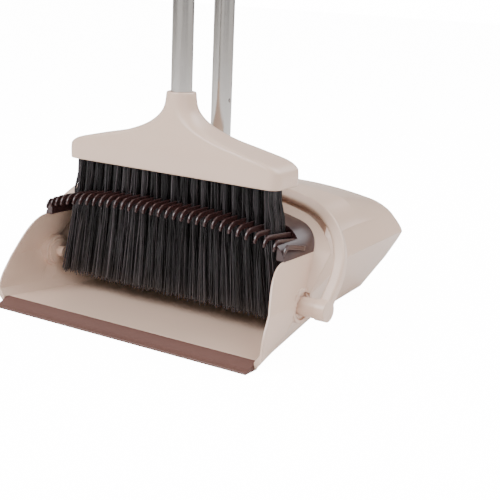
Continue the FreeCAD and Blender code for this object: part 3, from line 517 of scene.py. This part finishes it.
def bristle_tree():
    """Geometry nodes: rows of tufts whose strands fan out and part round the comb's teeth."""
    tree = bpy.data.node_groups.new("Bristle field", "GeometryNodeTree")
    named_inputs(tree, Float=("Width", "Depth", "Tuft radius", "Length", "Ragged", "Flare", "Splay",
                              "Strand radius", "Tooth pitch", "Comb drop", "Comb reach", "Pinch"),
                 Int=("Tufts", "Rows", "Strands", "Seed"), Vector=("Centre",), Material=("Material",))
    start = tree.nodes.new("NodeGroupInput").outputs
    end = tree.nodes.new("NodeGroupOutput")

    grid = node(tree, "GeometryNodeMeshGrid", "Tuft holes")
    link_all(tree, [(start["Width"], grid.inputs["Size X"]), (start["Depth"], grid.inputs["Size Y"]),
                    (start["Tufts"], grid.inputs["Vertices X"]), (start["Rows"], grid.inputs["Vertices Y"])])
    points = node(tree, "GeometryNodeMeshToPoints", "Tufts")
    copies = node(tree, "GeometryNodeDuplicateElements", "Strands", domain="POINT")
    link_all(tree, [(grid.outputs["Mesh"], points.inputs["Mesh"]),
                    (points.outputs[0], copies.inputs["Geometry"]),
                    (start["Strands"], copies.inputs["Amount"])])
    index = node(tree, "GeometryNodeInputIndex", "Strand number").outputs[0]
    angle = random_value(tree, 0.0, 2 * math.pi, start["Seed"], 1, index)
    share = maths(tree, "SQRT", random_value(tree, 0.0, 1.0, start["Seed"], 2, index))
    reach = maths(tree, "MULTIPLY", share, start["Tuft radius"])
    spread = node(tree, "ShaderNodeCombineXYZ", "Place in the tuft")
    link_all(tree, [(maths(tree, "MULTIPLY", reach, maths(tree, "COSINE", angle)), spread.inputs["X"]),
                    (maths(tree, "MULTIPLY", reach, maths(tree, "SINE", angle)), spread.inputs["Y"])])
    rooted = node(tree, "GeometryNodeSetPosition", "Roots")
    link_all(tree, [(copies.outputs["Geometry"], rooted.inputs["Geometry"]),
                    (spread.outputs[0], rooted.inputs["Offset"])])
    line = node(tree, "GeometryNodeCurvePrimitiveLine", "One strand")
    line.inputs["End"].default_value = (0, 0, -1)
    resample = node(tree, "GeometryNodeResampleCurve", "Bends")
    resample.inputs["Count"].default_value = 9
    tree.links.new(line.outputs[0], resample.inputs["Curve"])
    instance = node(tree, "GeometryNodeInstanceOnPoints", "Strands in place")
    link_all(tree, [(rooted.outputs[0], instance.inputs["Points"]),
                    (resample.outputs[0], instance.inputs["Instance"])])

    # each strand keeps its own random numbers
    fields = [("root", "FLOAT_VECTOR", node(tree, "GeometryNodeInputPosition", "Root").outputs[0]),
              ("strand_tone", "FLOAT", random_value(tree, 0.0, 1.0, start["Seed"], 3, index)),
              ("strand_length", "FLOAT", random_value(tree, -1.0, 1.0, start["Seed"], 4, index)),
              ("strand_lean_x", "FLOAT", random_value(tree, -1.0, 1.0, start["Seed"], 5, index)),
              ("strand_lean_y", "FLOAT", random_value(tree, -1.0, 1.0, start["Seed"], 6, index))]
    flowing = instance.outputs[0]
    for title, kind, value in fields:
        store = node(tree, "GeometryNodeStoreNamedAttribute", title, data_type=kind, domain="INSTANCE")
        store.inputs["Name"].default_value = title
        link_all(tree, [(flowing, store.inputs["Geometry"]), (value, store.inputs["Value"])])
        flowing = store.outputs[0]
    real = node(tree, "GeometryNodeRealizeInstances", "Realize")
    tree.links.new(flowing, real.inputs[0])

    def stored(title, kind="FLOAT"):
        reading = node(tree, "GeometryNodeInputNamedAttribute", title, data_type=kind)
        reading.inputs["Name"].default_value = title
        return reading.outputs[0]

    down = node(tree, "GeometryNodeSplineParameter", "Down the strand").outputs["Factor"]
    root = node(tree, "ShaderNodeSeparateXYZ", "Root")
    tree.links.new(stored("root", "FLOAT_VECTOR"), root.inputs[0])
    half = maths(tree, "MULTIPLY", start["Width"], 0.5)
    eased = maths(tree, "POWER", down, 1.3)
    # sideways: the even fan, each strand's own lean, and the pinch between the comb's teeth
    place = maths(tree, "DIVIDE", root.outputs["X"], half)
    fan = maths(tree, "MULTIPLY", maths(tree, "MULTIPLY", start["Flare"], place), eased)
    own = maths(tree, "MULTIPLY", maths(tree, "MULTIPLY", stored("strand_lean_x"), start["Splay"]), eased)
    free_x = maths(tree, "ADD", maths(tree, "ADD", root.outputs["X"], fan), own)
    gap = maths(tree, "ADD", maths(tree, "FLOOR", maths(tree, "DIVIDE", free_x, start["Tooth pitch"])), 0.5)
    gap_x = maths(tree, "MULTIPLY", gap, start["Tooth pitch"])
    drop = maths(tree, "MULTIPLY", down, start["Length"])
    away = maths(tree, "DIVIDE", maths(tree, "SUBTRACT", drop, start["Comb drop"]), start["Comb reach"])
    fading = maths(tree, "MULTIPLY", maths(tree, "POWER", maths(tree, "ABSOLUTE", away), 4.0), -1.0)
    near = maths(tree, "MULTIPLY", start["Pinch"], maths(tree, "EXPONENT", fading))
    aside = maths(tree, "SUBTRACT", free_x, gap_x)
    pinched = maths(tree, "SUBTRACT", free_x, maths(tree, "MULTIPLY", near, aside))
    lean_y = maths(tree, "MULTIPLY", maths(tree, "MULTIPLY", stored("strand_lean_y"), start["Splay"]), eased)
    fan_y = maths(tree, "MULTIPLY", maths(tree, "MULTIPLY", root.outputs["Y"], 0.5), eased)
    y = maths(tree, "ADD", maths(tree, "ADD", root.outputs["Y"], fan_y), lean_y)
    own_length = maths(tree, "MULTIPLY_ADD", stored("strand_length"), start["Ragged"], start["Length"])
    z = maths(tree, "MULTIPLY", maths(tree, "MULTIPLY", down, own_length), -1.0)
    spot = node(tree, "ShaderNodeCombineXYZ", "Bent strand")
    link_all(tree, [(pinched, spot.inputs["X"]), (y, spot.inputs["Y"]), (z, spot.inputs["Z"])])
    moved = node(tree, "ShaderNodeVectorMath", "Under the head", operation="ADD")
    link_all(tree, [(spot.outputs[0], moved.inputs[0]), (start["Centre"], moved.inputs[1])])
    bent = node(tree, "GeometryNodeSetPosition", "Bend")
    link_all(tree, [(real.outputs[0], bent.inputs["Geometry"]), (moved.outputs[0], bent.inputs["Position"])])
    tip = node(tree, "GeometryNodeStoreNamedAttribute", "Tip", data_type="FLOAT", domain="POINT")
    tip.inputs["Name"].default_value = "strand_tip"
    tip_share = maths(tree, "MULTIPLY", maths(tree, "POWER", down, 14.0), 0.5)
    link_all(tree, [(bent.outputs[0], tip.inputs["Geometry"]), (tip_share, tip.inputs["Value"])])
    section = node(tree, "GeometryNodeCurvePrimitiveCircle", "Section")
    section.inputs["Resolution"].default_value = 3
    tree.links.new(start["Strand radius"], section.inputs["Radius"])
    solid = node(tree, "GeometryNodeCurveToMesh", "Strand solid")
    solid.inputs["Fill Caps"].default_value = True
    link_all(tree, [(tip.outputs[0], solid.inputs["Curve"]),
                    (section.outputs[0], solid.inputs["Profile Curve"])])
    real_again = node(tree, "GeometryNodeRealizeInstances", "Realize")
    finish = node(tree, "GeometryNodeSetMaterial", "Material")
    link_all(tree, [(solid.outputs[0], real_again.inputs[0]),
                    (real_again.outputs[0], finish.inputs["Geometry"]),
                    (start["Material"], finish.inputs["Material"]),
                    (finish.outputs[0], end.inputs["Geometry"])])
    return tree


def grown(name, tree, values):
    """Runs a geometry node tree on an empty mesh and keeps the result as a plain mesh."""
    obj = bpy.data.objects.new(name, bpy.data.meshes.new(name))
    bpy.context.scene.collection.objects.link(obj)
    modifier = obj.modifiers.new("Nodes", "NODES")
    modifier.node_group = tree
    for item in tree.interface.items_tree:
        if item.item_type == "SOCKET" and item.in_out == "INPUT" and item.name in values:
            modifier[item.identifier] = values[item.name]
    baked(obj)
    obj.data.name = name
    return obj


class DUST_OT_bristles(bpy.types.Operator):
    """Grows the bristles in two fields, the front rows and the rear rows"""
    bl_idname = "dust.bristles"
    bl_label = "Bristles"

    def execute(self, context):
        brush = context.scene.dust_brush
        pan = context.scene.dust_pan
        low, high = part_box("bristles")
        comb_low, comb_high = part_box("comb_teeth")
        head_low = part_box("broom_head")[0]
        sunk = 0.001
        tree = bristle_tree()
        edge = 0.0035
        depth = (high.y - low.y) - 2 * edge
        for name, side, seed in (("bristles_front", -1, 11), ("bristles_rear", 1, 12)):
            rows = brush.rows // 2
            centre_y = (low.y + high.y) / 2 + side * depth / 4
            obj = grown(name, tree, {
                "Width": 2 * (high.x - edge), "Depth": depth / 2 - depth / (2 * brush.rows),
                "Tufts": brush.tufts, "Rows": rows, "Strands": brush.strands,
                "Tuft radius": brush.tuft_radius, "Length": high.z - low.z, "Ragged": brush.ragged,
                "Flare": brush.flare, "Splay": brush.splay, "Strand radius": brush.strand_radius,
                "Tooth pitch": pan.tooth_pitch, "Comb drop": head_low.z - 0.5 * (comb_low.z + comb_high.z),
                "Comb reach": 0.026, "Pinch": 0.42, "Centre": (0.0, centre_y, head_low.z + sunk),
                "Seed": seed,
                "Material": MATERIALS["bristle"]})
            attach(obj, "broom")
            if side < 0:
                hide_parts("bristles")
        return {"FINISHED"}


def teeth_tree():
    """Geometry nodes: one blade repeated along the comb, whose ends sweep back and down."""
    tree = bpy.data.node_groups.new("Comb teeth", "GeometryNodeTree")
    named_inputs(tree, Float=("Pitch", "Tip back", "Tip height", "End sweep", "End drop", "End shorter",
                              "End tilt"),
                 Int=("Count",), Object=("Blade",), Material=("Material",))
    start = tree.nodes.new("NodeGroupInput").outputs
    end = tree.nodes.new("NodeGroupOutput")
    line = node(tree, "GeometryNodeMeshLine", "Teeth")
    index = node(tree, "GeometryNodeInputIndex", "Tooth number").outputs[0]
    half = maths(tree, "MULTIPLY", maths(tree, "SUBTRACT", start["Count"], 1.0), 0.5)
    from_middle = maths(tree, "SUBTRACT", index, half)
    share = maths(tree, "ABSOLUTE", maths(tree, "DIVIDE", from_middle, half))
    steep = maths(tree, "POWER", share, 6.0)
    rounded = maths(tree, "POWER", share, 3.4)
    spot = node(tree, "ShaderNodeCombineXYZ", "Tip")
    put = node(tree, "GeometryNodeSetPosition", "Tips in place")
    blade = node(tree, "GeometryNodeObjectInfo", "Blade")
    size = node(tree, "ShaderNodeCombineXYZ", "Blade size")
    size.inputs["X"].default_value = 1.0
    size.inputs["Z"].default_value = 1.0
    copies = node(tree, "GeometryNodeInstanceOnPoints", "Blades")
    tilt = node(tree, "ShaderNodeCombineXYZ", "Blade tilt")
    real = node(tree, "GeometryNodeRealizeInstances", "Realize")
    finish = node(tree, "GeometryNodeSetMaterial", "Material")
    y = maths(tree, "SUBTRACT", maths(tree, "MULTIPLY", steep, start["End sweep"]), start["Tip back"])
    z = maths(tree, "SUBTRACT", start["Tip height"], maths(tree, "MULTIPLY", rounded, start["End drop"]))
    link_all(tree, [(start["Count"], line.inputs["Count"]), (line.outputs[0], put.inputs["Geometry"]),
                    (maths(tree, "MULTIPLY", from_middle, start["Pitch"]), spot.inputs["X"]),
                    (y, spot.inputs["Y"]), (z, spot.inputs["Z"]), (spot.outputs[0], put.inputs["Position"]),
                    (maths(tree, "SUBTRACT", 1.0, maths(tree, "MULTIPLY", steep, start["End shorter"])),
                     size.inputs["Y"]),
                    (maths(tree, "MULTIPLY", steep, start["End tilt"]), tilt.inputs["X"]),
                    (tilt.outputs[0], copies.inputs["Rotation"]),
                    (start["Blade"], blade.inputs["Object"]), (put.outputs[0], copies.inputs["Points"]),
                    (blade.outputs["Geometry"], copies.inputs["Instance"]),
                    (size.outputs[0], copies.inputs["Scale"]),
                    (copies.outputs[0], real.inputs[0]), (real.outputs[0], finish.inputs["Geometry"]),
                    (start["Material"], finish.inputs["Material"]),
                    (finish.outputs[0], end.inputs["Geometry"])])
    return tree


class DUST_OT_comb(bpy.types.Operator):
    """Builds the comb's teeth, thin round-edged blades that hook down at their tips"""
    bl_idname = "dust.comb"
    bl_label = "Comb"

    def execute(self, context):
        pan = context.scene.dust_pan
        blade = self.blade(pan.tooth_thick / 2, pan.tooth_reach)
        obj = grown("comb_teeth_fine", teeth_tree(), {
            "Count": pan.tooth_count, "Pitch": pan.tooth_pitch, "Tip back": pan.tip_back,
            "Tip height": pan.tip_height, "End sweep": 0.012, "End drop": 0.0175, "End tilt": -0.22,
            "End shorter": 0.46,
            "Blade": blade, "Material": MATERIALS["comb"]})
        bpy.data.objects.remove(blade)
        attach(obj, "dustpan")
        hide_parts("comb_teeth")
        return {"FINISHED"}

    def blade(self, half, reach):
        """One tooth with its tip at the origin: stations of y, z and half height along its middle."""
        stations = [(0.0013, -0.0011, 0.0004), (0.0016, -0.0002, 0.0014), (0.0027, 0.0024, 0.0021),
                    (0.0050, 0.0050, 0.0025), (0.0085, 0.0069, 0.0026), (0.0125, 0.0077, 0.0026),
                    (0.5 * reach, 0.0080, 0.0025), (reach, 0.0078, 0.0025)]
        rows = flow(stations, 4)
        rings = []
        for i, (y, z, tall) in enumerate(rows):
            ahead = rows[min(i + 1, len(rows) - 1)]
            behind = rows[max(i - 1, 0)]
            way = Vector((0, ahead[0] - behind[0], ahead[1] - behind[1])).normalized()
            across = Vector((0, -way.z, way.y))
            wide = half * min(1.0, 0.45 + 0.55 * i / 5)
            rings.append([Vector((a, y, z)) + across * b
                          for a, b in rounded_box_ring(wide, tall, 0.45 * wide, 2, 3)])
        return piece("blade", *skin(rings), MATERIALS["comb"])


class DUST_OT_lip(bpy.types.Operator):
    """Builds the rubber lip, with a bead along its front and the slot for the pan's tongue"""
    bl_idname = "dust.lip"
    bl_label = "Lip"

    def execute(self, context):
        low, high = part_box("rubber_lip")
        bead = 0.0013
        front = low.y + bead
        back = high.y
        edge = 0.0004
        slot_low, slot_high = self.tongue_slot(high.z)
        slot_back = back - 0.0060
        loop = [(front + bead * math.cos(a), bead + low.z + bead * math.sin(a))
                for a in [math.radians(270 - 22.5 * k) for k in range(9)]]
        loop += [(front + 0.0010, 2.15 * bead), (front + 0.0018, 1.85 * bead), (front + 0.0060, 0.0036),
                 (back - 0.0040, high.z - 0.0010), (back - 2 * edge, high.z),
                 (back - edge / 3, high.z - edge / 3),
                 (back, high.z - edge), (back, slot_high), (slot_back, slot_high), (slot_back, slot_low),
                 (back, slot_low), (back, edge), (back - edge, 0.0)]
        rings = [[Vector((x, y, z)) for y, z in loop] for x in (low.x, high.x)]
        obj = piece("lip_beaded", *skin(rings), MATERIALS["rubber"], False)
        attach(obj, "dustpan")
        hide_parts("rubber_lip")
        return {"FINISHED"}

    def tongue_slot(self, rise):
        tongue = 0.0025
        return (rise - tongue) / 2, (rise + tongue) / 2


class DUST_OT_pivots(bpy.types.Operator):
    """Builds the snap fingers round each pivot, in the round well outside the wall"""
    bl_idname = "dust.pivots"
    bl_label = "Pivot snaps"

    def execute(self, context):
        fingers = 4
        for side, word in ((-1, "left"), (1, "right")):
            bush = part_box("pivot_bush_" + word)
            outer = bush[1].x if side > 0 else -bush[0].x
            shells = []
            for k in range(fingers):
                turn = math.pi / fingers + 2 * math.pi * k / fingers
                away = Vector((0, math.cos(turn), math.sin(turn)))
                along = Vector((0, -math.sin(turn), math.cos(turn)))
                rings = []
                for x, grow in ((0.0001, 0.7), (0.0006, 1.0), (0.0020, 1.0), (0.0024, 0.75)):
                    centre = PIVOT + away * 0.0118
                    centre.x = side * (outer + x)
                    rings.append([centre + along * a * grow + away * b * grow
                                  for a, b in rounded_box_ring(0.0034, 0.0012, 0.0006, 2, 3)])
                shells.append(skin(rings))
            obj = piece("pivot_snaps_" + word, *joined(*shells), MATERIALS["beige"])
            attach(obj, "dustpan")
        return {"FINISHED"}


class DUST_OT_stage(bpy.types.Operator):
    """Sets the floor, the lights and the camera"""
    bl_idname = "dust.stage"
    bl_label = "Stage"

    def execute(self, context):
        stage = context.scene.dust_stage
        self.floor(context.scene.dust_colours, stage.glow)
        self.lights(context, stage)
        self.camera(context, stage)
        return {"FINISHED"}

    def floor(self, tints, stage_glow):
        size = 6.0
        material, tree, shader = blank_material("Studio floor")
        cloud_place = node(tree, "ShaderNodeTexCoord", "Place")
        cloud = noise(tree, cloud_place.outputs["Object"], 3.0, 2.0, "Paper")
        tone = span(tree, cloud.outputs["Fac"], 0.985, 1.0, "Tone")
        tinted = node(tree, "ShaderNodeVectorMath", "Tinted", operation="SCALE")
        tinted.inputs[0].default_value = tints.floor
        tree.links.new(tone.outputs[0], tinted.inputs["Scale"])
        tree.links.new(tinted.outputs[0], shader.inputs["Base Color"])
        shader.inputs["Roughness"].default_value = 0.7
        shown = node(tree, "ShaderNodeLightPath", "Seen by the camera")
        glow = maths(tree, "MULTIPLY", shown.outputs["Is Camera Ray"], stage_glow)
        tree.links.new(glow, shader.inputs["Emission Strength"])
        shader.inputs["Emission Color"].default_value = (1, 1, 1, 1)
        corners = [(-size, -size, 0), (size, -size, 0), (size, size, 0), (-size, size, 0)]
        obj = piece("studio_floor", [(x, y, -0.0002) for x, y, z in corners], [(0, 1, 2, 3)], material, False)

    def lights(self, context, stage):
        world = bpy.data.worlds.new("Studio")
        world.use_nodes = True
        tree = world.node_tree
        studio = tree.nodes["Background"]
        backdrop = node(tree, "ShaderNodeBackground", "Backdrop")
        backdrop.inputs["Color"].default_value = (1, 1, 1, 1)
        backdrop.inputs["Strength"].default_value = stage.backdrop
        place = node(tree, "ShaderNodeTexCoord", "Place")
        split = node(tree, "ShaderNodeSeparateXYZ", "Direction")
        turn = maths(tree, "ARCTAN2", split.outputs["Y"], split.outputs["X"])
        wave = maths(tree, "SINE", maths(tree, "MULTIPLY", turn, float(stage.panels)))
        panels = node(tree, "ShaderNodeValToRGB", "Soft boxes and dark flags")
        dark, light = panels.color_ramp.elements
        dark.position, light.position = 0.30, 0.62
        dark.color, light.color = (0.20, 0.20, 0.21, 1), (1.15, 1.13, 1.10, 1)
        shown = node(tree, "ShaderNodeLightPath", "What looks")
        glossy = node(tree, "ShaderNodeMix", "Even light or panels", data_type="RGBA")
        glossy.inputs["A"].default_value = (1.0, 0.93, 0.86, 1)
        mix = node(tree, "ShaderNodeMixShader", "Backdrop for the camera")
        link_all(tree, [(place.outputs["Generated"], split.inputs[0]),
                        (maths(tree, "MULTIPLY_ADD", wave, 0.5, 0.5), panels.inputs[0]),
                        (shown.outputs["Is Glossy Ray"], glossy.inputs["Factor"]),
                        (panels.outputs[0], glossy.inputs["B"]),
                        (glossy.outputs["Result"], studio.inputs["Color"]),
                        (shown.outputs["Is Camera Ray"], mix.inputs[0]), (studio.outputs[0], mix.inputs[1]),
                        (backdrop.outputs[0], mix.inputs[2]),
                        (mix.outputs[0], tree.nodes["World Output"].inputs["Surface"])])
        studio.inputs["Strength"].default_value = stage.sky
        context.scene.world = world
        spots = (("key", stage.key, 1.3, (-0.9, -1.5, 1.7)), ("fill", stage.fill, 1.0, (1.6, -0.9, 0.9)),
                 ("back", stage.fill, 1.2, (0.4, 1.6, 1.5)), ("top", 3.2 * stage.fill, 1.3, (0.8, 0.9, 1.8)))
        for name, power, size, position in spots:
            light = bpy.data.lights.new(name, "AREA")
            light.energy = power
            light.color = (0.95, 0.965, 1.0)
            light.size = size
            obj = bpy.data.objects.new(name, light)
            obj.location = position
            aim = Vector((0, 0, 0.1)) - obj.location
            obj.rotation_mode = "QUATERNION"
            obj.rotation_quaternion = aim.to_track_quat("-Z", "Y")
            context.scene.collection.objects.link(obj)

    def camera(self, context, stage):
        azimuth, elevation, roll = stage.azimuth, stage.elevation, stage.roll
        back = Vector((math.sin(azimuth) * math.cos(elevation), -math.cos(azimuth) * math.cos(elevation),
                       math.sin(elevation)))
        level = Vector((math.cos(azimuth), math.sin(azimuth), 0))
        upward = back.cross(level)
        right = math.cos(roll) * level - math.sin(roll) * upward
        up = math.sin(roll) * level + math.cos(roll) * upward
        data = bpy.data.cameras.new("camera")
        data.sensor_width = 36.0
        data.lens = stage.lens
        data.clip_start = 0.05
        data.clip_end = 30.0
        obj = bpy.data.objects.new("camera", data)
        turn = Matrix((right, up, back)).transposed().to_4x4()
        obj.matrix_world = Matrix.Translation(Vector(stage.target) + back * stage.distance) @ turn
        context.scene.collection.objects.link(obj)
        context.scene.camera = obj


class DUST_PT_panel(bpy.types.Panel):
    bl_label = "Dust pan and brush"
    bl_idname = "DUST_PT_panel"
    bl_space_type = "VIEW_3D"
    bl_region_type = "UI"
    bl_category = "Dust pan"

    def draw(self, context):
        layout = self.layout
        for operator in OPERATORS:
            layout.operator(operator.bl_idname)
        for group in (context.scene.dust_pan, context.scene.dust_brush, context.scene.dust_colours,
                      context.scene.dust_stage):
            box = layout.box()
            for name in group.bl_rna.properties.keys():
                if name not in {"rna_type", "name"}:
                    box.prop(group, name)


OPERATORS = (DUST_OT_finishes, DUST_OT_brush_head, DUST_OT_bristles, DUST_OT_comb, DUST_OT_lip,
             DUST_OT_pivots, DUST_OT_stage)
GROUPS = {"dust_pan": PanSettings, "dust_brush": BrushSettings, "dust_colours": ColourSettings,
          "dust_stage": StageSettings}


def register():
    for cls in (*GROUPS.values(), *OPERATORS, DUST_PT_panel):
        bpy.utils.register_class(cls)
    for name, cls in GROUPS.items():
        setattr(bpy.types.Scene, name, PointerProperty(type=cls))


def unregister():
    for name in GROUPS:
        delattr(bpy.types.Scene, name)
    for cls in reversed((*GROUPS.values(), *OPERATORS, DUST_PT_panel)):
        bpy.utils.unregister_class(cls)


def main():
    register()
    for operator in OPERATORS:
        family, name = operator.bl_idname.split(".")
        getattr(getattr(bpy.ops, family), name)()


if __name__ == "__main__":
    main()
